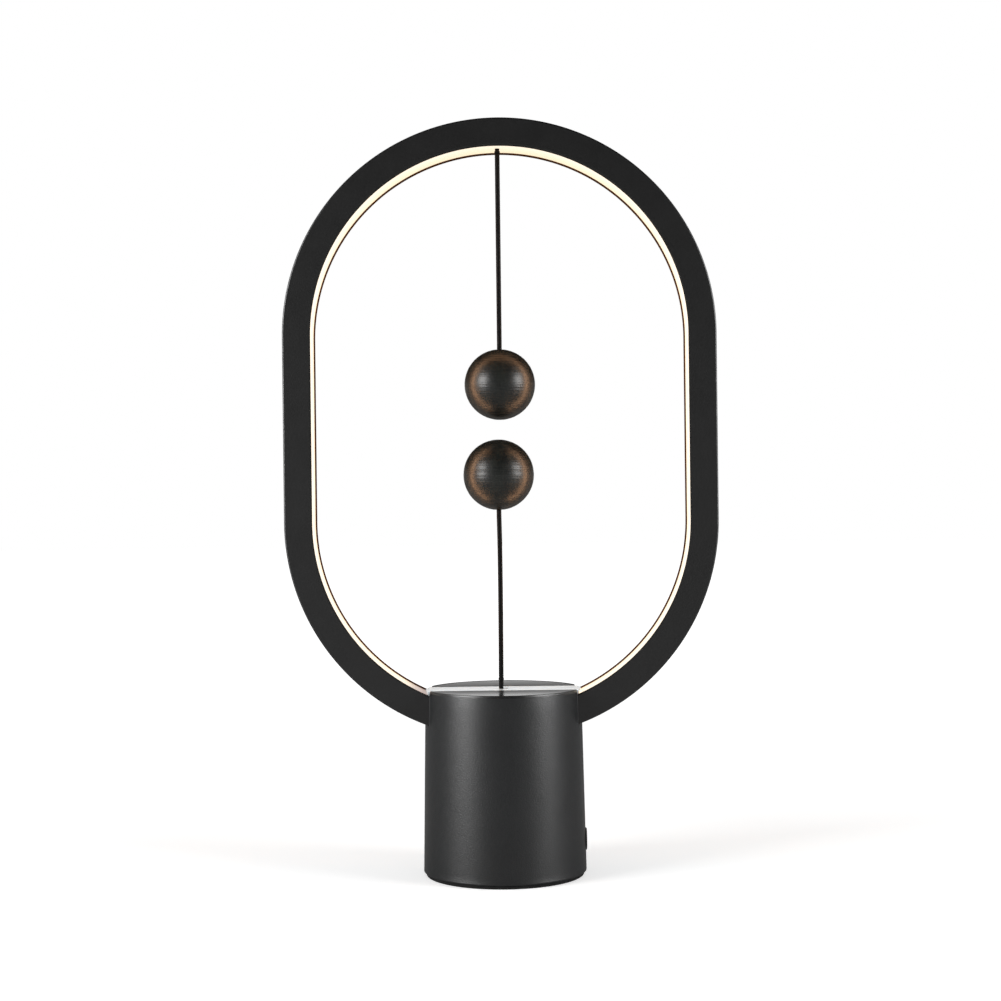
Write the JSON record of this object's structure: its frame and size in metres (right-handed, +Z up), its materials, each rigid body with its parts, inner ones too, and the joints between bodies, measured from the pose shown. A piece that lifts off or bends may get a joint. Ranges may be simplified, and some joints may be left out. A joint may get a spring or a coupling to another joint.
{
  "type": "magnetic balance lamp",
  "caption": "Upright lit ring on a round base; two magnet balls on cords draw together in the ring and lift the switch in the base.",
  "frame": {"origin": "centre of the base's underside, on the surface the lamp stands on", "axes": "+Z up along the lamp, +X to the viewer's right across the ring with the power inlet on that side, -Y towards the viewer"},
  "size_m": [0.14, 0.053, 0.245],
  "materials": {
    "shell_plastic": "fine matt black",
    "plate_plastic": "fine matt black",
    "ring_plastic": "matt black",
    "pale_plastic": "satin white",
    "diffuser_plastic": "milky, lit warm white",
    "foot_rubber": "matt",
    "inner_plastic": "moulded",
    "nylon": "moulded, natural",
    "screw_steel": "zinc plated",
    "ballast_steel": "pressed",
    "spring_steel": "drawn wire",
    "brass": "stamped",
    "board": "solder mask",
    "board_parts": "moulded",
    "led_strip": "white flexible circuit",
    "led": "yellow lens",
    "inlet_plastic": "moulded black",
    "inlet_pin": "nickel plated",
    "lead_wire": "insulated",
    "cord": "braided black",
    "ball_wood": "stained black, turned",
    "magnet": "nickel plated"
  },
  "bodies": {
    "lamp": {"base_shell": "shell_plastic", "top_plate_front": "plate_plastic", "top_plate_rear": "plate_plastic", "cover_strip": "pale_plastic", "foot_pad": "foot_rubber", "closing_plate": "inner_plastic", "closing_screws": "screw_steel", "ballast": "ballast_steel", "ring_front_half": "ring_plastic", "ring_rear_half": "ring_plastic", "ring_diffuser": "diffuser_plastic", "led_strip": "led_strip", "leds": "led", "upper_cord_knot": "cord", "ring_saddle": "inner_plastic", "saddle_screws": "screw_steel", "plunger_guide": "nylon", "guide_screws": "screw_steel", "fixed_contacts": "brass", "return_spring": "spring_steel", "circuit_board": "board", "board_parts": "board_parts", "power_inlet": "inlet_plastic", "inlet_pin": "inlet_pin", "led_leads": "lead_wire", "switch_leads": "lead_wire"},
    "switch_plunger": {"plunger": "nylon", "contact_bridge": "brass", "lower_cord_tail": "cord"},
    "lower_bend": {"lower_cord_bend": "cord"},
    "lower_pendulum": {"lower_cord": "cord", "lower_ball": "ball_wood", "lower_ball_plug": "ball_wood", "lower_magnet": "magnet"},
    "upper_bend": {"upper_cord_bend": "cord"},
    "upper_pendulum": {"upper_cord": "cord", "upper_ball": "ball_wood", "upper_ball_plug": "ball_wood", "upper_magnet": "magnet"}
  },
  "joints": [
    {"name": "upper_tilt", "type": "hinge", "parent": "lamp", "child": "upper_bend", "pos_m": [0, 0, 0.2352], "axis": [1, 0, 0], "range_deg": [-75, 75]},
    {"name": "upper_lean", "type": "hinge", "parent": "upper_bend", "child": "upper_pendulum", "pos_m": [0, 0, 0.2352], "axis": [0, 1, 0], "range_deg": [-40, 40]},
    {"name": "switch_lift", "type": "slide", "parent": "lamp", "child": "switch_plunger", "axis": [0, 0, 1], "range_m": [-0.002, 0], "stiffness_N_per_m": 400, "deforming": ["return_spring"]},
    {"name": "lower_tilt", "type": "hinge", "parent": "switch_plunger", "child": "lower_bend", "pos_m": [-0.00065, 0, 0.0634], "axis": [1, 0, 0], "range_deg": [-80, 80], "stiffness_Nm_per_rad": 0.02},
    {"name": "lower_lean", "type": "hinge", "parent": "lower_bend", "child": "lower_pendulum", "pos_m": [-0.00065, 0, 0.0634], "axis": [0, 1, 0], "range_deg": [-45, 45], "stiffness_Nm_per_rad": 0.02}
  ]
}
